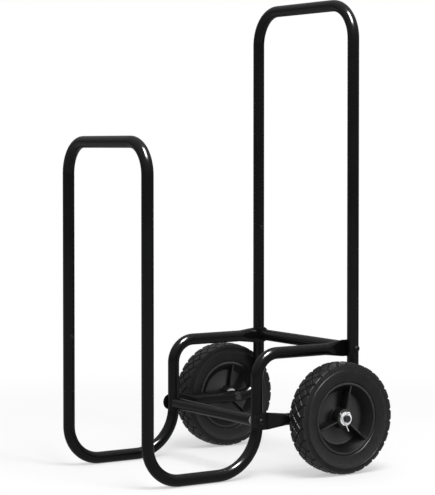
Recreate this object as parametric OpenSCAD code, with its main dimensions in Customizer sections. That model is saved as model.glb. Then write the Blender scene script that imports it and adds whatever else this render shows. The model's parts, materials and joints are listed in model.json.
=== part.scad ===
// Fireside log cart: a bent-tube cradle with a short front hoop, a tall
// handle frame behind it, and two lugged wheels on stub axles.
// X runs along the axles, -Y is the front hoop, +Z is up. The origin lies on
// the floor under the middle of the cart. All sizes are in millimetres.

/* [Tube] */
// Outside diameter of every frame tube
tube_d = 27; // [24:0.5:30]
// Wall of the frame tubes
tube_wall = 1.5; // [1:0.1:2.5]
// Height of a tube end where it is pressed flat
tab_h = 38; // [34:1:42]
// Length over which a tube end goes from round to flat
press_len = 48; // [30:1:70]

/* [Cradle] */
// Width of the cradle between its tube centres
cradle_w = 354; // [280:2:420]
// Height of the front hoop over all
front_h = 764; // [560:1:900]
// Inner-line radius at the top corners of the front hoop
front_corner_r = 72; // [45:1:100]
// Radius of the bend from the front leg to the floor rail
front_foot_r = 80; // [50:1:100]
// Radius of the bend from the floor rail to the riser
rear_foot_r = 104; // [60:1:110]
// Radius of the bend from the riser to the shelf rail
shelf_bend_r = 54; // [40:1:80]
// Distance from the front leg to the riser
riser_y = 284; // [250:1:330]
// Height of the shelf rail's centre
shelf_z = 276; // [250:1:330]
// Height at which the front hoop plugs into the side rails
front_joint_z = 320; // [240:5:420]

/* [Handle frame] */
// Distance from the front leg to the rear leg
rear_y = 541; // [500:1:620]
// Height of the handle over all
handle_h = 1081; // [900:1:1200]
// Inner-line radius at the top corners of the handle
handle_corner_r = 80; // [45:1:100]
// Radius of the bend from the rear leg to the lower rail
leg_bend_r = 58; // [40:1:60]
// Height at which the handle plugs into the rear legs
handle_joint_z = 560; // [420:5:700]

/* [Wheels] */
// Diameter over the tyre's lugs
wheel_d = 254; // [230:1:280]
// Width of the tyre between its sidewalls
tyre_w = 60; // [58:1:72]
// Distance from the rear leg forward to the axle
axle_setback = 71; // [68:0.5:85]
// Gap between the lower rail and the inner sidewall
wheel_gap = 5; // [4:0.5:25]
// Radius of the rim's rolled lip, where the tyre starts
rim_lip_r = 82.5; // [76:0.5:88]
// Depth of the tyre's lugs
lug_h = 3.5; // [2:0.25:5]
// Number of lugs around each row of the tread
lug_n = 30; // [20:1:34]
// Width of the grooves between the lugs
groove_w = 3; // [2:0.25:6]
// Width of the tread over its rows of lugs
tread_w = 52; // [44:1:54]
// How much lower the tread's shoulders are than its middle
tread_crown = 2.5; // [0.5:0.25:5]
// Radius of the raised ring round the sidewall
ring_r = 111; // [104:1:113]
// How far the rim's lip lies inside the outer sidewall
lip_inset = 8.3; // [6:0.1:12]
// Depth of the hub's dish below the rim lip
dish_depth = 28; // [18:1:30]
// Thickness of the three spokes
spoke_t = 4.5; // [3:0.5:8]
// Outside diameter of the hub's boss
boss_d = 44; // [38:1:48]
// How far the boss face lies inside the outer sidewall
boss_inset = 12; // [8:0.2:20]

/* [Axle] */
// Diameter of the stub axles
axle_d = 16; // [12:0.1:17]
// Outside diameter of the axle washers
washer_d = 31; // [26:1:34]
// Thickness of the axle washers
washer_t = 2.5; // [1.5:0.1:3]
// Outside diameter of the bush in the hub
bush_d = 21; // [20:0.5:23]
// Diameter of the split pin
pin_d = 3.2; // [2.4:0.1:4]
// Length of the straight stretches of the split pin's legs
pin_leg = 21; // [14:1:24]

/* [Fasteners] */
// Thread diameter of the four frame bolts
bolt_d = 8; // [6:0.5:10]
// Length of the threaded plugs in the cross tubes
plug_len = 22; // [16:1:30]
// Thread diameter of the hoop screws
screw_d = 6; // [5:0.5:6.5]
// Height of the hoop screws' low heads
screw_head_h = 1.3; // [1:0.1:3]
// Length of the drawn-down hoop ends inside the legs
swage_len = 38; // [30:1:60]

/* [Hidden] */

$fn = 96;

paint = [0.07, 0.07, 0.075];
rubber = [0.12, 0.12, 0.12];
plastic = [0.17, 0.17, 0.17];
zinc = [0.75, 0.76, 0.78];

// Clearances: pieces that seat, a push fit, a running fit, a bolt in its hole
seat = 0.1;
push = 0.1;
run_fit = 0.08;
bolt_play = 0.3;
side_play = 0.4;

tube_r = tube_d / 2;
bore_r = tube_r - tube_wall;
tab_t = 2 * tube_wall;

// The floor rail and the tyres stand on the floor
rail_z = tube_r;
front_top_z = front_h - tube_r;
handle_top_z = handle_h - tube_r;

wheel_r = wheel_d / 2;
axle_z = wheel_r;
axle_y = rear_y - axle_setback;

// Both frames meet flank to flank, so the handle frame is wider by a tube
// radius, half a flattened end and the seat on each side
cradle_x = cradle_w / 2;
frame_x = cradle_x + tube_r + tab_t / 2 + seat;
rail_face_x = frame_x + tube_r;

wheel_x = rail_face_x + wheel_gap + tyre_w / 2;
boss_out = tyre_w / 2 - boss_inset;
boss_in = rail_face_x + washer_t + 2 * side_play - wheel_x;
boss_r = boss_d / 2;
washer_out_x = wheel_x + boss_out + side_play;
pin_x = washer_out_x + washer_t + side_play + pin_d / 2;
axle_end_x = pin_x + 1.75 * pin_d;

// Middle of the floor plan, from the front leg to the rearmost tyre or leg
rear_reach = max(rear_y + tube_r, axle_y + wheel_r);
shift_y = (rear_reach - tube_r) / 2;

// ---- Tube work, drawn in the XY plane ----

module tube_ring(r = tube_r) {
    difference() {
        circle(r = r);
        circle(r = r - tube_wall);
    }
}

// Straight tube from a point, in the direction of an angle
module run(from, angle, length) {
    translate([from[0], from[1], 0])
        rotate([0, 90, angle])
            linear_extrude(height = length)
                tube_ring();
}

// Bent tube round a centre
module bend(centre, start, sweep, r) {
    translate([centre[0], centre[1], 0])
        rotate([0, 0, start])
            rotate_extrude(angle = sweep)
                translate([r, 0])
                    tube_ring();
}

// Tube end pressed flat in the XY plane and drilled, with its hole at the
// origin; the round tube arrives from +X
tab_r = tab_h / 2;
module press_shape(inset) {
    hull() {
        translate([tab_r + press_len - 0.01, 0, 0])
            rotate([0, 90, 0])
                cylinder(h = 0.01, r = tube_r - inset, $fn = 48);
        translate([tab_r, 0, 0])
            cube([0.01, tab_h - 2 * inset, tab_t - 2 * inset + 0.02], center = true);
    }
}

module pressed_end() {
    difference() {
        union() {
            cylinder(h = tab_t, r = tab_r, center = true);
            translate([0, -tab_r, -tab_t / 2])
                cube([tab_r, tab_h, tab_t]);
            difference() {
                press_shape(0);
                press_shape(tube_wall - 0.01);
            }
        }
        bolt_hole(tab_t + 2);
    }
}

module bolt_hole(length) {
    cylinder(h = length, r = bolt_d / 2 + bolt_play, center = true);
}

// Drawn-down end that plugs into a tube below the origin, with its shoulder
module swage() {
    plug_r = bore_r - push;
    shoulder = 2 * tube_wall;
    difference() {
        union() {
            cylinder(h = shoulder, r = tube_r);
            translate([0, 0, -swage_len])
                cylinder(h = swage_len + shoulder, r = plug_r);
        }
        translate([0, 0, -swage_len - 1])
            cylinder(h = swage_len + shoulder + 2, r = plug_r - tube_wall);
    }
}

// Screw hole in one side of a leg and of the swage in it, below the origin
module swaged_screw_hole(inward) {
    translate([0, 0, -swage_len / 2])
        rotate([0, 90 * inward, 0])
            cylinder(h = tube_d, r = screw_d / 2 + bolt_play / 2);
}

// Places what is drawn in XY as a side view, X to the back and Y up
module side_view(x) {
    translate([x, -shift_y, 0])
        rotate([90, 0, 90])
            children();
}

// Places what is drawn in XY as a front view
module front_view(y) {
    translate([0, y - shift_y, 0])
        rotate([90, 0, 0])
            children();
}

module mirror_left(left) {
    if (left) mirror([1, 0, 0]) children();
    else children();
}

// ---- Frame ----

// Inverted U of tube whose legs end in swages at a joint height
module hoop(half_w, top_z, corner_r, joint_z) {
    shoulder = 2 * tube_wall;
    leg_top = top_z - corner_r;
    for (side = [-1, 1])
        run([side * half_w, joint_z + shoulder], 90, leg_top - joint_z - shoulder);
    bend([half_w - corner_r, leg_top], 0, 90, corner_r);
    bend([corner_r - half_w, leg_top], 90, 90, corner_r);
    run([corner_r - half_w, top_z], 0, 2 * (half_w - corner_r));
    for (side = [-1, 1])
        translate([side * half_w, joint_z, 0])
            rotate([-90, 0, 0])
                difference() {
                    swage();
                    swaged_screw_hole(-side);
                }
}

module front_hoop() {
    color(paint)
        front_view(0)
            hoop(cradle_x, front_top_z, front_corner_r, front_joint_z);
}

module handle_hoop() {
    color(paint)
        front_view(rear_y)
            hoop(frame_x, handle_top_z, handle_corner_r, handle_joint_z);
}

// Front leg, floor rail, riser and shelf rail in one bent tube
module side_rail() {
    press_at = rear_y - tab_r - press_len;
    difference() {
        side_view(cradle_x)
            difference() {
                union() {
                    run([0, rail_z + front_foot_r], 90, front_joint_z - rail_z - front_foot_r);
                    bend([front_foot_r, rail_z + front_foot_r], 180, 90, front_foot_r);
                    run([front_foot_r, rail_z], 0, riser_y - rear_foot_r - front_foot_r);
                    bend([riser_y - rear_foot_r, rail_z + rear_foot_r], 270, 90, rear_foot_r);
                    run([riser_y, rail_z + rear_foot_r], 90,
                        shelf_z - shelf_bend_r - rail_z - rear_foot_r);
                    bend([riser_y + shelf_bend_r, shelf_z - shelf_bend_r], 90, 90, shelf_bend_r);
                    run([riser_y + shelf_bend_r, shelf_z], 0, press_at - riser_y - shelf_bend_r);
                    translate([rear_y, shelf_z, 0])
                        rotate([0, 0, 180])
                            pressed_end();
                }
                // Bolt hole of the lower rail's joint
                translate([riser_y, axle_z, 0])
                    bolt_hole(2 * tube_d);
            }
        front_view(0)
            translate([cradle_x, front_joint_z, 0])
                rotate([-90, 0, 0])
                    swaged_screw_hole(-1);
    }
}

// Rear leg bent forward into the lower rail that carries the axle
module rear_leg() {
    press_at = riser_y + tab_r + press_len;
    difference() {
        side_view(frame_x)
            difference() {
                union() {
                    run([rear_y, axle_z + leg_bend_r], 90, handle_joint_z - axle_z - leg_bend_r);
                    bend([rear_y - leg_bend_r, axle_z + leg_bend_r], 270, 90, leg_bend_r);
                    run([press_at, axle_z], 0, rear_y - leg_bend_r - press_at);
                    translate([riser_y, axle_z, 0])
                        pressed_end();
                }
                translate([rear_y, shelf_z, 0])
                    bolt_hole(2 * tube_d);
                translate([axle_y, axle_z, 0])
                    cylinder(h = 2 * tube_d, r = axle_d / 2 + push / 2, center = true);
            }
        front_view(rear_y)
            translate([frame_x, handle_joint_z, 0])
                rotate([-90, 0, 0])
                    swaged_screw_hole(-1);
    }
}

module side_rail_left() color(paint) mirror_left(true) side_rail();
module side_rail_right() color(paint) side_rail();
module rear_leg_left() color(paint) mirror_left(true) rear_leg();
module rear_leg_right() color(paint) rear_leg();

// Cross tubes reach from one side's joint to the other's
lower_tube_x = cradle_x - tube_r - seat;
shelf_tube_x = cradle_x - tab_t / 2 - seat;

module along_x(y, z) {
    translate([0, y - shift_y, z])
        rotate([0, 90, 0])
            children();
}

module lower_cross_tube() {
    color(paint)
        along_x(riser_y, axle_z)
            linear_extrude(height = 2 * lower_tube_x, center = true)
                tube_ring();
}

module shelf_cross_tube() {
    color(paint)
        along_x(rear_y, shelf_z)
            linear_extrude(height = 2 * shelf_tube_x, center = true)
                tube_ring();
}

module cross_tube_plug(tube_x, y, z) {
    along_x(y, z)
        translate([0, 0, tube_x - plug_len])
            difference() {
                cylinder(h = plug_len, r = bore_r - push / 2);
                translate([0, 0, -1])
                    cylinder(h = plug_len + 2, r = bolt_d / 2 + run_fit);
            }
}

module cross_tube_plugs() {
    color(zinc)
        for (left = [false, true])
            mirror_left(left) {
                cross_tube_plug(lower_tube_x, riser_y, axle_z);
                cross_tube_plug(shelf_tube_x, rear_y, shelf_z);
            }
}

// ---- Fasteners ----

joint_washer_t = 1.6;
joint_washer_r = bolt_d;
bolt_head_h = bolt_d / 2;
// Length of thread that a bolt or screw has beyond what it clamps
bolt_thread = 0.8 * plug_len;
screw_thread = screw_d / 2;

// Outer faces that the washers of the frame bolts lie on
lower_face_x = frame_x + tab_t / 2 + seat;
shelf_face_x = frame_x + tube_r + seat;

// Round head with a hex socket, its seat at z = 0 and its shank below. The
// head is a low rim under a cone, and the socket leaves a floor in it.
module button_bolt(d, head_h, shank) {
    head_r = 0.85 * d;
    crown_r = 0.62 * head_r;
    socket_w = 0.6 * d;
    rim_h = 0.4 * head_h;
    socket_floor = 0.35 * head_h;
    difference() {
        union() {
            translate([0, 0, -shank])
                cylinder(h = shank, r = d / 2);
            cylinder(h = rim_h, r = head_r);
            translate([0, 0, rim_h])
                cylinder(h = head_h - rim_h, r1 = head_r, r2 = crown_r);
        }
        translate([0, 0, socket_floor])
            cylinder(h = head_h, d = socket_w / cos(30), $fn = 6);
    }
}

module joint_bolt(face_x, tube_x, y, z) {
    seat_x = face_x + joint_washer_t + seat;
    along_x(y, z)
        translate([0, 0, seat_x])
            button_bolt(bolt_d, bolt_head_h, seat_x - tube_x + bolt_thread);
}

module joint_bolts() {
    color(paint)
        for (left = [false, true])
            mirror_left(left) {
                joint_bolt(lower_face_x, lower_tube_x, riser_y, axle_z);
                joint_bolt(shelf_face_x, shelf_tube_x, rear_y, shelf_z);
            }
}

module joint_washer(face_x, y, z) {
    along_x(y, z)
        translate([0, 0, face_x])
            difference() {
                cylinder(h = joint_washer_t, r = joint_washer_r);
                translate([0, 0, -1])
                    cylinder(h = joint_washer_t + 2, r = bolt_d / 2 + bolt_play);
            }
}

module joint_washers() {
    color(paint)
        for (left = [false, true])
            mirror_left(left) {
                joint_washer(lower_face_x, riser_y, axle_z);
                joint_washer(shelf_face_x, rear_y, shelf_z);
            }
}

// Screws that lock the swaged hoop ends, driven from between the legs
module hoop_screw(x, y, joint_z) {
    inward = -sign(x);
    translate([x + inward * (tube_r + seat), y - shift_y, joint_z - swage_len / 2])
        rotate([0, 90 * inward, 0])
            button_bolt(screw_d, screw_head_h, 2 * tube_wall + screw_thread);
}

module hoop_screws() {
    color(paint)
        for (side = [-1, 1]) {
            hoop_screw(side * cradle_x, 0, front_joint_z);
            hoop_screw(side * frame_x, rear_y, handle_joint_z);
        }
}

// ---- Axles ----

// Stub welded through the lower rail, drilled across for its split pin
pin_tilt = 25;
weld_w = 3;
weld_edge = 0.6;
module stub_axle() {
    inner_x = frame_x - tube_r - weld_w;
    chamfer = 1;
    r = axle_d / 2;
    difference() {
        along_x(axle_y, axle_z)
            union() {
                translate([0, 0, inner_x])
                    cylinder(h = axle_end_x - chamfer - inner_x, r = r);
                translate([0, 0, axle_end_x - chamfer])
                    cylinder(h = chamfer, r1 = r, r2 = r - chamfer);
                translate([0, 0, inner_x])
                    cylinder(h = weld_w, r1 = r + weld_edge, r2 = r + weld_w);
            }
        pin_frame()
            rotate([90, 0, 0])
                cylinder(h = 2 * axle_d, r = pin_d / 2 + push, center = true);
    }
}

// Washer bore clears the axle
module axle_washer(x) {
    along_x(axle_y, axle_z)
        translate([0, 0, x])
            difference() {
                cylinder(h = washer_t, d = washer_d);
                translate([0, 0, -1])
                    cylinder(h = washer_t + 2, r = axle_d / 2 + bolt_play);
            }
}

// Frame of the split pin: its plane lies across the axle, +Y towards the eye
module pin_frame() {
    translate([pin_x, axle_y - shift_y, axle_z])
        rotate([90, 0, 90])
            rotate([0, 0, -pin_tilt])
                children();
}

// Split pin: eye, body through the axle, and two legs bent apart. The second
// leg goes part of the way round the axle before it runs on straight.
module cotter_pin() {
    wire_r = 0.34 * pin_d;
    eye_r = 0.9 * pin_d;
    clear = 1;
    exit_r = axle_d / 2 + clear + wire_r;
    leg_turn = 52;
    wrap_turn = 40;
    pin_frame() {
        translate([0, exit_r, 0])
            rotate([90, 0, 0])
                cylinder(h = 2 * exit_r + wire_r, r = pin_d / 2);
        translate([0, exit_r + eye_r, 0])
            rotate_extrude()
                translate([eye_r, 0])
                    circle(r = wire_r, $fn = 32);
        translate([0, -exit_r, 0])
            rotate([90, 0, leg_turn])
                cylinder(h = pin_leg, r = wire_r);
        rotate([0, 0, -90 - wrap_turn]) {
            rotate_extrude(angle = wrap_turn)
                translate([exit_r, 0])
                    circle(r = wire_r, $fn = 32);
            translate([exit_r, 0, 0])
                rotate([90, 0, 0])
                    cylinder(h = pin_leg, r = wire_r);
        }
    }
}

module stub_axle_left() color(zinc) mirror_left(true) stub_axle();
module stub_axle_right() color(zinc) stub_axle();
inner_washer_x = rail_face_x + side_play;
module inner_washer_left() color(zinc) mirror_left(true) axle_washer(inner_washer_x);
module inner_washer_right() color(zinc) axle_washer(inner_washer_x);
module outer_washer_left() color(zinc) mirror_left(true) axle_washer(washer_out_x);
module outer_washer_right() color(zinc) axle_washer(washer_out_x);
module cotter_pin_left() color(zinc) mirror_left(true) cotter_pin();
module cotter_pin_right() color(zinc) cotter_pin();

// ---- Wheel, drawn round +Z with its outer face up ----

// Rim: its seat lies under the tyre, and its lips hold the tyre in
lip_h = 2.5;
lip_t = 3;
lip_round = 1;
rim_wall = 3.5;
rim_seat_r = rim_lip_r - lip_h;
rim_bore_r = rim_seat_r - seat - rim_wall;
lip_out = tyre_w / 2 - lip_inset;

// Dish: its wall slopes in to a floor round the boss
dish_slope_w = 14.5;
floor_t = 4;
floor_r = rim_bore_r - dish_slope_w;
floor_top = lip_out - dish_depth;
floor_low = floor_top - floor_t;

half_w = tyre_w / 2;
shoulder_z = tread_w / 2;
shoulder_r = wheel_r - tread_crown;

module place_wheel() {
    translate([wheel_x, axle_y - shift_y, axle_z])
        rotate([0, 90, 0])
            children();
}

// Points across half of the crowned tread, from its shoulder to its middle
function crown_line(depth) = [
    [shoulder_r - depth, shoulder_z],
    [wheel_r - tread_crown / 4 - depth, shoulder_z / 2],
    [wheel_r - depth, shoulder_z / 6],
    [wheel_r - depth, 0]
];

// Half of the tyre's section, from the rim seat to the middle of the tread.
// The sidewall swells gently to its ring and falls off to the shoulder.
module tyre_half_section() {
    bead_r = rim_lip_r + 3 * seat;
    ring_h = 2;
    polygon(concat([
        [rim_seat_r, 0],
        [rim_seat_r, lip_out - lip_t],
        [bead_r, lip_out - lip_t],
        [bead_r, lip_out],
        [bead_r + ring_h, lip_out + ring_h],
        [ring_r - 5 * ring_h, half_w - ring_h],
        [ring_r - ring_h, half_w - ring_h / 4],
        [ring_r - ring_h / 2, half_w],
        [ring_r + ring_h / 2, half_w],
        [ring_r + ring_h, half_w - ring_h]
    ], crown_line(lug_h)));
}

// Diamond lugs: rows side by side, each turned half a pitch from the last
row_n = 4;
row_step = tread_w / row_n;
outer_row = row_n / 2 - 1;
lug_pitch = 2 * PI * wheel_r / lug_n;
lug_root = 2;
lug_spare = 1;
lug_foot_r = shoulder_r - lug_h - lug_root;

// Outline round a row's middle, +X towards the shoulder. The outer row runs
// out to the shoulder at its full width.
module lug_outline(row) {
    half_pitch = (lug_pitch - groove_w * sqrt(2)) / 2;
    reach = row_step - groove_w / sqrt(2);
    polygon([[0, half_pitch], [reach, 0], [0, -half_pitch], [-reach, 0]]);
    if (row == outer_row)
        translate([0, -half_pitch])
            square([row_step, 2 * half_pitch]);
}

module tread_lug(row) {
    mid = (row + 0.5) * row_step;
    rotate([0, 90, 0])
        translate([-mid, 0, lug_foot_r])
            linear_extrude(height = wheel_r + lug_spare - lug_foot_r)
                mirror([1, 0])
                    lug_outline(row);
}

module tyre() {
    rotate_extrude() {
        tyre_half_section();
        mirror([0, 1])
            tyre_half_section();
    }
    // The lugs are turned down to the crowned tread line
    intersection() {
        rotate_extrude()
            for (end = [0, 1])
                mirror([0, end])
                    polygon(concat([[lug_foot_r, 0], [lug_foot_r, shoulder_z]], crown_line(0)));
        for (end = [0, 1])
            mirror([0, 0, end])
                for (row = [0 : outer_row], i = [0 : lug_n - 1])
                    rotate([0, 0, (i + (row + end) % 2 / 2) * 360 / lug_n])
                        tread_lug(row);
    }
}

// One-piece hub: rim, dished web, boss and three spokes on each face
module hub_section() {
    barrel_r = rim_seat_r - seat;
    lip_back = lip_out - lip_t + seat;
    boss_draft = 3;
    polygon([
        [bush_d / 2, boss_in],
        [boss_r - boss_draft, boss_in],
        [boss_r, floor_low],
        [floor_r, floor_low],
        [rim_bore_r, -lip_out],
        [rim_lip_r, -lip_out],
        [rim_lip_r, -lip_back],
        [barrel_r, -lip_back],
        [barrel_r, lip_back],
        [rim_lip_r, lip_back],
        [rim_lip_r, lip_out - lip_round],
        [rim_lip_r - lip_round, lip_out],
        [rim_bore_r + lip_round, lip_out],
        [rim_bore_r, lip_out - lip_round],
        [floor_r, floor_top],
        [boss_r, floor_top],
        [boss_r, boss_out - lip_round],
        [boss_r - lip_round, boss_out],
        [bush_d / 2, boss_out]
    ]);
}

// Spokes run from inside the boss to inside the rim, set back from the faces
spoke_turn = 12;
spoke_back = 2;
module wheel_hub() {
    spoke_in = (bush_d / 2 + boss_r) / 2;
    spoke_out = rim_bore_r + rim_wall / 2;
    root = floor_t / 4;
    rotate_extrude()
        hub_section();
    for (i = [0 : 2])
        rotate([0, 0, 180 - spoke_turn - 120 * i])
            rotate([90, 0, 0])
                linear_extrude(height = spoke_t, center = true) {
                    polygon([[spoke_in, floor_top - root], [floor_r, floor_top - root],
                             [spoke_out, lip_out - spoke_back],
                             [spoke_in, boss_out - spoke_back]]);
                    polygon([[spoke_in, floor_low + root], [floor_r, floor_low + root],
                             [spoke_out, spoke_back - lip_out],
                             [spoke_in, spoke_back - lip_out]]);
                }
}

module hub_bush() {
    translate([0, 0, boss_in])
        difference() {
            cylinder(h = boss_out - boss_in, r = bush_d / 2 - push / 2);
            translate([0, 0, -1])
                cylinder(h = boss_out - boss_in + 2, r = axle_d / 2 + run_fit);
        }
}

module tyre_left() color(rubber) mirror_left(true) place_wheel() tyre();
module tyre_right() color(rubber) place_wheel() tyre();
module wheel_hub_left() color(plastic) mirror_left(true) place_wheel() wheel_hub();
module wheel_hub_right() color(plastic) place_wheel() wheel_hub();
module hub_bush_left() color(zinc) mirror_left(true) place_wheel() hub_bush();
module hub_bush_right() color(zinc) place_wheel() hub_bush();

front_hoop();
side_rail_left();
side_rail_right();
handle_hoop();
rear_leg_left();
rear_leg_right();
lower_cross_tube();
shelf_cross_tube();
cross_tube_plugs();
joint_bolts();
joint_washers();
hoop_screws();
stub_axle_left();
stub_axle_right();
inner_washer_left();
inner_washer_right();
outer_washer_left();
outer_washer_right();
cotter_pin_left();
cotter_pin_right();
tyre_left();
tyre_right();
wheel_hub_left();
wheel_hub_right();
hub_bush_left();
hub_bush_right();
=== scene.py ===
"""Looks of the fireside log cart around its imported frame. Metres, +Z up."""

import json
import math

import bmesh
import bpy
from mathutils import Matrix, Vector


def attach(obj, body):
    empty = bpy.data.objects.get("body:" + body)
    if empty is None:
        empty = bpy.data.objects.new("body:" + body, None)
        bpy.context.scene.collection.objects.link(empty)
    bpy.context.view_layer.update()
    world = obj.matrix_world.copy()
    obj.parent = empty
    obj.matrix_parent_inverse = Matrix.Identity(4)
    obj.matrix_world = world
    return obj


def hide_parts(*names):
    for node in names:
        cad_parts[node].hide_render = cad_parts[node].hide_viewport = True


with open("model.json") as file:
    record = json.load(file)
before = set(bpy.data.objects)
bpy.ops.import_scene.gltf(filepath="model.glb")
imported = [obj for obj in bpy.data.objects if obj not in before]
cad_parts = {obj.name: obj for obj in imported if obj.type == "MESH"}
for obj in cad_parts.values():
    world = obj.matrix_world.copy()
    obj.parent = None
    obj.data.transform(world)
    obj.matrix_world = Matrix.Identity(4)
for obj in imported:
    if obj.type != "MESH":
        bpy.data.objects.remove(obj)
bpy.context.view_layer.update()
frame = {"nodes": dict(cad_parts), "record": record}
nodes = frame["nodes"]

# ---- Camera: the photograph's view, framed partly by tilt and partly by shift ----

IMAGE_W, IMAGE_H = 435, 495
SENSOR = 36.0
FOCAL_PX = 1839.33
CENTRE_ROW = 193.5
CAMERA_AT = (3.5624, -2.3162, 0.7415)
CAMERA_TURN = 56.939
CAMERA_TILT = 1.484


def make_camera():
    data = bpy.data.cameras.new("camera")
    data.sensor_width = SENSOR
    data.lens = FOCAL_PX * SENSOR / IMAGE_H
    data.shift_y = -(IMAGE_H / 2 - CENTRE_ROW) / IMAGE_H
    camera = bpy.data.objects.new("camera", data)
    camera.location = CAMERA_AT
    camera.rotation_euler = (math.radians(90 - CAMERA_TILT), 0, math.radians(CAMERA_TURN))
    bpy.context.scene.collection.objects.link(camera)
    bpy.context.scene.camera = camera


make_camera()


# ---- Node helpers ----

def new_material(name):
    material = bpy.data.materials.new(name)
    material.use_nodes = True
    tree = material.node_tree
    return material, tree, tree.nodes["Principled BSDF"]


def add(tree, kind, **settings):
    """A node of a kind, with its input defaults and properties set by name."""
    node = tree.nodes.new(kind)
    for name, value in settings.items():
        if name in node.inputs:
            node.inputs[name].default_value = value
        else:
            setattr(node, name, value)
    return node


def noise(tree, scale, detail=3.0, roughness=0.55, stretch=None):
    """Noise over object space, finer along the axes that stretch enlarges."""
    coords = add(tree, "ShaderNodeTexCoord")
    texture = add(tree, "ShaderNodeTexNoise", Scale=scale, Detail=detail, Roughness=roughness)
    if stretch is None:
        tree.links.new(coords.outputs["Object"], texture.inputs["Vector"])
    else:
        mapping = add(tree, "ShaderNodeMapping")
        mapping.inputs["Scale"].default_value = stretch
        tree.links.new(coords.outputs["Object"], mapping.inputs["Vector"])
        tree.links.new(mapping.outputs["Vector"], texture.inputs["Vector"])
    return texture


def ramp(tree, source, stops):
    """Colour ramp over a value: stops are (position, colour or grey)."""
    node = add(tree, "ShaderNodeValToRGB")
    elements = node.color_ramp.elements
    for i, (position, value) in enumerate(stops):
        element = elements[i] if i < 2 else elements.new(position)
        element.position = position
        colour = value if isinstance(value, tuple) else (value, value, value)
        element.color = (*colour, 1)
    tree.links.new(source, node.inputs["Fac"])
    return node.outputs["Color"]


def add_values(tree, a, b):
    node = add(tree, "ShaderNodeMath", operation="ADD")
    tree.links.new(a, node.inputs[0])
    tree.links.new(b, node.inputs[1])
    return node.outputs["Value"]


def bump(tree, shader, layers, edge=0.0):
    """Stacks height layers (output, height in metres) into the normal, over rounded edges."""
    last = add(tree, "ShaderNodeBevel", Radius=edge, samples=6).outputs["Normal"] if edge else None
    for height, distance in layers:
        node = add(tree, "ShaderNodeBump", Strength=1.0, Distance=distance)
        tree.links.new(height, node.inputs["Height"])
        if last is not None:
            tree.links.new(last, node.inputs["Normal"])
        last = node.outputs["Normal"]
    tree.links.new(last, shader.inputs["Normal"])


# ---- Materials ----

def powder_coat():
    """Gloss black coat: a faint orange peel, and duller patches where it is handled."""
    material, tree, shader = new_material("powder_coat")
    broad = noise(tree, 9.0)
    peel = noise(tree, 420.0, detail=2.0)
    scuffs = noise(tree, 60.0, detail=6.0, stretch=(1.0, 1.0, 0.15))
    link = tree.links.new
    link(ramp(tree, broad.outputs["Fac"], [(0.3, (0.0034, 0.0035, 0.0037)), (0.75, (0.0052, 0.0053, 0.0055))]),
         shader.inputs["Base Color"])
    gloss = ramp(tree, broad.outputs["Fac"], [(0.25, 0.12), (0.8, 0.19)])
    worn = ramp(tree, scuffs.outputs["Fac"], [(0.68, 0.0), (0.76, 0.12)])
    link(add_values(tree, gloss, worn), shader.inputs["Roughness"])
    shader.inputs["Specular IOR Level"].default_value = 0.35
    bump(tree, shader, [(peel.outputs["Fac"], 0.00004)])
    return material


def black_fastener():
    material, tree, shader = new_material("black_fastener")
    broad = noise(tree, 160.0)
    link = tree.links.new
    link(ramp(tree, broad.outputs["Fac"], [(0.3, (0.007, 0.007, 0.0075)), (0.8, (0.014, 0.014, 0.0145))]),
         shader.inputs["Base Color"])
    link(ramp(tree, broad.outputs["Fac"], [(0.3, 0.32), (0.8, 0.48)]), shader.inputs["Roughness"])
    shader.inputs["Specular IOR Level"].default_value = 0.35
    bump(tree, shader, [(broad.outputs["Fac"], 0.00008)], edge=0.0006)
    return material


def zinc_steel():
    material, tree, shader = new_material("zinc_steel")
    patches = noise(tree, 110.0)
    turned = noise(tree, 900.0, stretch=(1.0, 0.12, 0.12))
    link = tree.links.new
    shader.inputs["Metallic"].default_value = 0.3
    link(ramp(tree, patches.outputs["Fac"], [(0.3, (0.82, 0.83, 0.85)), (0.7, (0.94, 0.94, 0.95))]),
         shader.inputs["Base Color"])
    link(ramp(tree, patches.outputs["Fac"], [(0.3, 0.22), (0.8, 0.36)]), shader.inputs["Roughness"])
    bump(tree, shader, [(turned.outputs["Fac"], 0.00004)], edge=0.0004)
    return material


def tyre_rubber():
    """Rubber with a fine grain, a little dust, and a slight shine on worn tops."""
    material, tree, shader = new_material("tyre_rubber")
    broad = noise(tree, 26.0)
    mould = noise(tree, 260.0, detail=2.0)
    grain = noise(tree, 900.0, detail=2.0)
    link = tree.links.new
    link(ramp(tree, broad.outputs["Fac"], [(0.3, (0.0095, 0.0095, 0.0095)), (0.75, (0.0145, 0.0145, 0.0145))]),
         shader.inputs["Base Color"])
    link(ramp(tree, broad.outputs["Fac"], [(0.3, 0.29), (0.8, 0.38)]), shader.inputs["Roughness"])
    shader.inputs["Specular IOR Level"].default_value = 0.4
    bump(tree, shader, [(mould.outputs["Fac"], 0.0004), (grain.outputs["Fac"], 0.0001)])
    return material


def hub_plastic():
    material, tree, shader = new_material("hub_plastic")
    broad = noise(tree, 30.0)
    grain = noise(tree, 1300.0, detail=2.0)
    link = tree.links.new
    link(ramp(tree, broad.outputs["Fac"], [(0.3, (0.0075, 0.0075, 0.0075)), (0.75, (0.0105, 0.0105, 0.0105))]),
         shader.inputs["Base Color"])
    link(ramp(tree, broad.outputs["Fac"], [(0.3, 0.34), (0.8, 0.44)]), shader.inputs["Roughness"])
    shader.inputs["Specular IOR Level"].default_value = 0.28
    bump(tree, shader, [(grain.outputs["Fac"], 0.00006)], edge=0.001)
    return material


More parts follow.
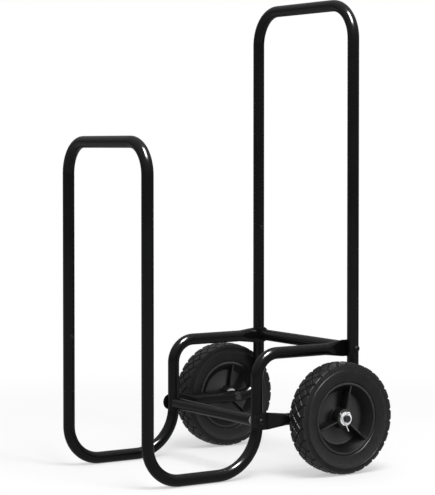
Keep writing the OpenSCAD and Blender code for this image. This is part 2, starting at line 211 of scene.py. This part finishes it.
def axle_steel():
    """Turned axle end: dark, dull metal."""
    material, tree, shader = new_material("axle_steel")
    patches = noise(tree, 140.0)
    link = tree.links.new
    shader.inputs["Metallic"].default_value = 0.8
    link(ramp(tree, patches.outputs["Fac"], [(0.3, (0.016, 0.016, 0.017)), (0.7, (0.05, 0.05, 0.052))]),
         shader.inputs["Base Color"])
    link(ramp(tree, patches.outputs["Fac"], [(0.3, 0.3), (0.8, 0.5)]), shader.inputs["Roughness"])
    bump(tree, shader, [(patches.outputs["Fac"], 0.00006)], edge=0.0004)
    return material


MATERIALS = {
    "powder_coat": powder_coat(),
    "black_fastener": black_fastener(),
    "zinc_steel": zinc_steel(),
    "tyre_rubber": tyre_rubber(),
    "hub_plastic": hub_plastic(),
    "axle_steel": axle_steel(),
}


def finish_of(obj, slot):
    obj.data.materials.clear()
    obj.data.materials.append(MATERIALS[slot])


slot_of = {part["node"]: part["material_slot"] for part in frame["record"]["subparts"]}
for name, node in nodes.items():
    finish_of(node, "axle_steel" if name.startswith("stub_axle") else slot_of[name])


# ---- Wheels: moulded tyres and hubs over the turned solids ----

WHEEL_R = 0.127
CROWN = 0.0025
LUG_DEPTH = 0.0035
LUG_COUNT = 30
LUG_EDGE = 0.0008
RIB_HEIGHT = 0.00025
HALF_TREAD = 0.026
CELLS = 10  # grid steps to half a lug's pitch
ROWS = 2 * CELLS  # grid steps from the middle of the tread to its edge

# Sidewall from the shoulder to the rim seat: radius and distance from the middle
SIDEWALL = [(0.1206, 0.0256), (0.1195, 0.0255), (0.1165, 0.0265), (0.1136, 0.0272), (0.1126, 0.0277),
            (0.1118, 0.0292), (0.1114, 0.0298), (0.111, 0.03), (0.1106, 0.0298), (0.1101, 0.0292),
            (0.106, 0.029), (0.101, 0.0281), (0.095, 0.0267), (0.089, 0.0251), (0.0858, 0.0241),
            (0.0846, 0.0236), (0.0836, 0.0226), (0.0829, 0.0217), (0.0828, 0.0187), (0.08, 0.0187)]


def mesh_object(name, bm, sharp=32):
    """Object from a closed mesh, smooth but for edges sharper than an angle in degrees."""
    bmesh.ops.recalc_face_normals(bm, faces=bm.faces)
    limit = math.radians(sharp)
    for edge in bm.edges:
        edge.smooth = edge.calc_face_angle(0) < limit
    for face in bm.faces:
        face.smooth = True
    mesh = bpy.data.meshes.new(name)
    bm.to_mesh(mesh)
    bm.free()
    obj = bpy.data.objects.new(name, mesh)
    bpy.context.scene.collection.objects.link(obj)
    return obj


def wheel_place(side):
    """Maps radius, angle from the floor and distance outward to a point of that side's wheel."""
    joint = next(j for j in frame["record"]["behaviour"]["joints"] if j["child"] == "wheel_" + side)
    x0, y0, z0 = joint["pos_m"]
    out = 1 if side == "right" else -1

    def place(radius, angle, outward):
        return Vector((x0 + out * outward, y0 + radius * math.sin(angle), z0 - radius * math.cos(angle)))
    return place


def lug_drop(i, j):
    """Drop from the tread line at grid step i round the tyre and j across it."""
    if abs(j) > 1.5 * CELLS:
        centre = CELLS if j > 0 else 0
        off = abs((i - centre + CELLS) % (2 * CELLS) - CELLS)
    else:
        along = abs((i + j - CELLS // 2 + CELLS) % (2 * CELLS) - CELLS)
        across = abs((i - j + CELLS // 2 + CELLS) % (2 * CELLS) - CELLS)
        off = max(along, across)
    if off >= 0.9 * CELLS:
        return LUG_DEPTH
    edge = LUG_EDGE if off >= 0.8 * CELLS else 0.0
    return edge + (LUG_EDGE if abs(j) == ROWS else 0.0)


def rib(i, k):
    """Height of the fine radial ribs at point k of the sidewall, on the shoulder band."""
    return RIB_HEIGHT if k in (1, 2, 3) and i % 3 == 0 else 0.0


def make_tyre(side):
    place = wheel_place(side)
    bm = bmesh.new()
    count = 2 * CELLS * LUG_COUNT
    columns = list(range(-ROWS, ROWS + 1))
    drops = [[lug_drop(i, j) for j in columns] for i in range(count)]
    rings = []
    for i in range(count):
        angle = 2 * math.pi * i / count
        ring = []
        flank = [(r, x + rib(i, k)) for k, (r, x) in enumerate(SIDEWALL)]
        for r, x in reversed(flank):
            ring.append(bm.verts.new(place(r, angle, -x)))
        for j, drop in zip(columns, drops[i]):
            share = j / ROWS
            ring.append(bm.verts.new(place(WHEEL_R - CROWN * share * share - drop, angle, share * HALF_TREAD)))
        for r, x in flank:
            ring.append(bm.verts.new(place(r, angle, x)))
        rings.append(ring)
    first = len(SIDEWALL)
    last = first + len(columns) - 1
    size = len(rings[0])
    for i in range(count):
        here, after = rings[i], rings[(i + 1) % count]
        for k in range(size):
            n = (k + 1) % size
            corners = (here[k], here[n], after[n], after[k])
            if first <= k < last:
                a, b = drops[i][k - first], drops[i][n - first]
                c, d = drops[(i + 1) % count][n - first], drops[(i + 1) % count][k - first]
                if not a == b == c == d:
                    # Split along the diagonal that the groove follows
                    if abs(a - c) <= abs(b - d):
                        bm.faces.new((corners[0], corners[1], corners[2]))
                        bm.faces.new((corners[0], corners[2], corners[3]))
                    else:
                        bm.faces.new((corners[0], corners[1], corners[3]))
                        bm.faces.new((corners[1], corners[2], corners[3]))
                    continue
            bm.faces.new(corners)
    return mesh_object("moulded_tyre_" + side, bm)


def rounded(points, steps=5):
    """Closed section of (radius, outward, fillet): each fillet becomes an arc."""
    section = []
    for k, (r, x, fillet) in enumerate(points):
        corner = Vector((r, x))
        if not fillet:
            section.append((r, x))
            continue
        before = (Vector(points[k - 1][:2]) - corner).normalized()
        after = (Vector(points[(k + 1) % len(points)][:2]) - corner).normalized()
        half = before.angle(after) / 2
        centre = corner + (before + after).normalized() * fillet / math.sin(half)
        start = corner + before * fillet / math.tan(half) - centre
        end = corner + after * fillet / math.tan(half) - centre
        turn = start.angle(end)
        for step in range(steps + 1):
            t = step / steps
            arm = (start * math.sin((1 - t) * turn) + end * math.sin(t * turn)) / math.sin(turn)
            section.append(tuple(centre + arm))
    return section


def revolve(bm, section, place, segments):
    rings = [[bm.verts.new(place(r, 2 * math.pi * k / segments, x)) for r, x in section]
             for k in range(segments)]
    for k, ring in enumerate(rings):
        after = rings[(k + 1) % segments]
        for i in range(len(section)):
            j = (i + 1) % len(section)
            bm.faces.new((ring[i], ring[j], after[j], after[i]))


# Half section of the hub: radius, distance outward and fillet
HUB_SECTION = [(0.0105, -0.0317, 0), (0.019, -0.0317, 0.001), (0.022, -0.0103, 0.002),
               (0.0619, -0.0103, 0.004), (0.0764, -0.0217, 0.0008), (0.0825, -0.0217, 0.001),
               (0.0825, -0.0188, 0), (0.0799, -0.0188, 0), (0.0799, 0.0188, 0), (0.0825, 0.0188, 0),
               (0.0825, 0.0217, 0.0014), (0.0764, 0.0217, 0.0014), (0.0619, -0.0063, 0.005),
               (0.022, -0.0063, 0.003), (0.022, 0.018, 0.0012), (0.0105, 0.018, 0)]
HUB_SEGMENTS = 180
SPOKE_FRONT = [(0.0163, -0.0073), (0.0619, -0.0073), (0.0781, 0.0197), (0.0163, 0.016)]
SPOKE_BACK = [(0.0163, -0.0093), (0.0619, -0.0093), (0.0781, -0.0197), (0.0163, -0.0197)]
SPOKE_T = 0.0045
SPOKE_ROUND = 0.0007
SPOKE_TURNS = [168, 48, -72]


def make_hub(side):
    """Hub with its mould's fillets: rim, dish, boss, and three spokes on each face."""
    place = wheel_place(side)
    bm = bmesh.new()
    revolve(bm, rounded(HUB_SECTION), place, HUB_SEGMENTS)
    for turn in SPOKE_TURNS:
        angle = math.radians(turn)
        for outline in (SPOKE_FRONT, SPOKE_BACK):
            made = []
            for shift in (-SPOKE_T / 2, SPOKE_T / 2):
                made.append([bm.verts.new(place(math.hypot(r, shift), angle + math.atan2(shift, r), x))
                             for r, x in outline])
            lower, upper = made
            faces = [bm.faces.new(lower), bm.faces.new(tuple(reversed(upper)))]
            for i in range(len(outline)):
                j = (i + 1) % len(outline)
                faces.append(bm.faces.new((lower[i], upper[i], upper[j], lower[j])))
            edges = {edge for face in faces for edge in face.edges}
            bmesh.ops.bevel(bm, geom=list(edges), offset=SPOKE_ROUND, segments=2, profile=0.5,
                            affect="EDGES")
    return mesh_object("moulded_hub_" + side, bm)


tyres, hubs = [], []
for side in ("left", "right"):
    for make, node, slot in ((make_tyre, "tyre_", "tyre_rubber"), (make_hub, "wheel_hub_", "hub_plastic")):
        piece = make(side)
        finish_of(piece, slot)
        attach(piece, "wheel_" + side)
        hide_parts(node + side)
        (tyres if make is make_tyre else hubs).append(piece)


# ---- Floor, backdrop and lamps ----

FLOOR_HALF = 9.0
FADE_FROM, FADE_TO = 0.75, 1.9
SHADOW_LIFT = 0.45
# Brightness of the mirrored floor, near and far along a direction behind the cart
MIRROR_DIRECTION = (-0.5, 0.87, 0)
MIRROR_FROM, MIRROR_TO = 1.2, 2.2
MIRROR_NEAR, MIRROR_FAR = 0.24, 0.02
DOME_LIGHT = 0.72
ROOM_TONES = [(0.0, 0.1), (0.35, 0.28), (0.9, 0.5)]


def make_floor():
    """Pale floor that keeps the shadow near the cart and goes white away from it."""
    bpy.ops.mesh.primitive_plane_add(size=2 * FLOOR_HALF)
    floor = bpy.context.object
    floor.name = "floor"
    material, tree, shader = new_material("floor")
    link = tree.links.new
    coords = add(tree, "ShaderNodeTexCoord")
    away = add(tree, "ShaderNodeVectorMath", operation="LENGTH")
    fade = add(tree, "ShaderNodeMapRange", interpolation_type="SMOOTHSTEP")
    fade.inputs["From Min"].default_value = FADE_FROM
    fade.inputs["From Max"].default_value = FADE_TO
    link(coords.outputs["Object"], away.inputs[0])
    link(away.outputs["Value"], fade.inputs["Value"])
    shader.inputs["Base Color"].default_value = (0.9, 0.9, 0.9, 1)
    shader.inputs["Roughness"].default_value = 0.9
    shader.inputs["Specular IOR Level"].default_value = 0.1
    paths = add(tree, "ShaderNodeLightPath")
    white = add(tree, "ShaderNodeEmission", Strength=1.0)
    dim = add(tree, "ShaderNodeEmission")
    behind = add(tree, "ShaderNodeVectorMath", operation="DOT_PRODUCT")
    behind.inputs[1].default_value = MIRROR_DIRECTION
    depth = add(tree, "ShaderNodeMapRange")
    for name, value in (("From Min", MIRROR_FROM), ("From Max", MIRROR_TO),
                        ("To Min", MIRROR_NEAR), ("To Max", MIRROR_FAR)):
        depth.inputs[name].default_value = value
    link(coords.outputs["Object"], behind.inputs[0])
    link(behind.outputs["Value"], depth.inputs["Value"])
    link(depth.outputs["Result"], dim.inputs["Strength"])
    lift = add(tree, "ShaderNodeMixShader")
    mix = add(tree, "ShaderNodeMixShader")
    mirrored = add(tree, "ShaderNodeMixShader")
    lift.inputs["Fac"].default_value = SHADOW_LIFT
    link(shader.outputs["BSDF"], lift.inputs[1])
    link(white.outputs["Emission"], lift.inputs[2])
    link(fade.outputs["Result"], mix.inputs["Fac"])
    link(lift.outputs["Shader"], mix.inputs[1])
    link(white.outputs["Emission"], mix.inputs[2])
    link(paths.outputs["Is Glossy Ray"], mirrored.inputs["Fac"])
    link(mix.outputs["Shader"], mirrored.inputs[1])
    link(dim.outputs["Emission"], mirrored.inputs[2])
    link(mirrored.outputs["Shader"], tree.nodes["Material Output"].inputs["Surface"])
    floor.data.materials.append(material)


def area_lamp(name, target, azimuth, elevation, distance, size, energy, lights=None):
    """Soft box that looks at a target from a direction, in degrees. With a list of
    objects it shows only as their reflection."""
    data = bpy.data.lights.new(name, "AREA")
    data.shape = "RECTANGLE"
    data.size, data.size_y = size
    data.energy = energy
    lamp = bpy.data.objects.new(name, data)
    a, e = math.radians(azimuth), math.radians(elevation)
    away = Vector((math.cos(a) * math.cos(e), math.sin(a) * math.cos(e), math.sin(e)))
    lamp.location = Vector(target) + away * distance
    lamp.rotation_euler = away.to_track_quat("Z", "Y").to_euler()
    bpy.context.scene.collection.objects.link(lamp)
    if lights:
        lamp.visible_diffuse = False
        group = bpy.data.collections.new(name + "_lights")
        for obj in lights:
            group.objects.link(obj)
        lamp.light_linking.receiver_collection = group


def make_world():
    """White backdrop, an even dome of light, and for reflections a room that is dark
    near the floor and bright overhead."""
    world = bpy.data.worlds.new("studio")
    bpy.context.scene.world = world
    world.use_nodes = True
    tree = world.node_tree
    link = tree.links.new
    paths = add(tree, "ShaderNodeLightPath")
    coords = add(tree, "ShaderNodeTexCoord")
    split = add(tree, "ShaderNodeSeparateXYZ")
    link(coords.outputs["Generated"], split.inputs["Vector"])
    room = ramp(tree, split.outputs["Z"], ROOM_TONES)
    dome = add(tree, "ShaderNodeBackground", Strength=DOME_LIGHT)
    mirrored = add(tree, "ShaderNodeBackground", Strength=1.0)
    white = add(tree, "ShaderNodeBackground", Strength=1.0)
    white.inputs["Color"].default_value = (1, 1, 1, 1)
    dome.inputs["Color"].default_value = (1, 1, 1, 1)
    link(room, mirrored.inputs["Color"])
    glossy = add(tree, "ShaderNodeMixShader")
    camera = add(tree, "ShaderNodeMixShader")
    link(paths.outputs["Is Glossy Ray"], glossy.inputs["Fac"])
    link(dome.outputs["Background"], glossy.inputs[1])
    link(mirrored.outputs["Background"], glossy.inputs[2])
    link(paths.outputs["Is Camera Ray"], camera.inputs["Fac"])
    link(glossy.outputs["Shader"], camera.inputs[1])
    link(white.outputs["Background"], camera.inputs[2])
    link(camera.outputs["Shader"], tree.nodes["World Output"].inputs["Surface"])


bpy.context.scene.view_settings.view_transform = "Standard"
make_floor()
make_world()
tubes = [node for name, node in nodes.items() if slot_of[name] == "powder_coat"]
zinc = [node for name, node in nodes.items() if slot_of[name] == "zinc_steel"]
right_tyre = tyres[1:]  # on the left tyre the glint would glare from behind
wheel = (0.24, 0.18, 0.13)
area_lamp("key", (0, 0, 0.4), -5, 62, 3.2, (1.6, 1.6), 70)
area_lamp("tube_glint", (0.15, 0, 0.9), -10, 63, 2.2, (0.8, 1.2), 230, lights=tubes)
area_lamp("tyre_glint", wheel, -50, 58, 2.4, (0.6, 0.6), 42, lights=right_tyre)
area_lamp("hub_glint", wheel, -20, 52, 2.4, (0.8, 0.8), 5, lights=hubs)
area_lamp("side_panel", wheel, 36, -6, 3.0, (1.6, 1.0), 14, lights=tyres)
area_lamp("zinc_panel", wheel, 36, 0, 3.0, (1.6, 1.6), 30, lights=zinc)
area_lamp("hub_panel", wheel, 36, 3, 3.0, (1.3, 1.3), 36, lights=hubs)
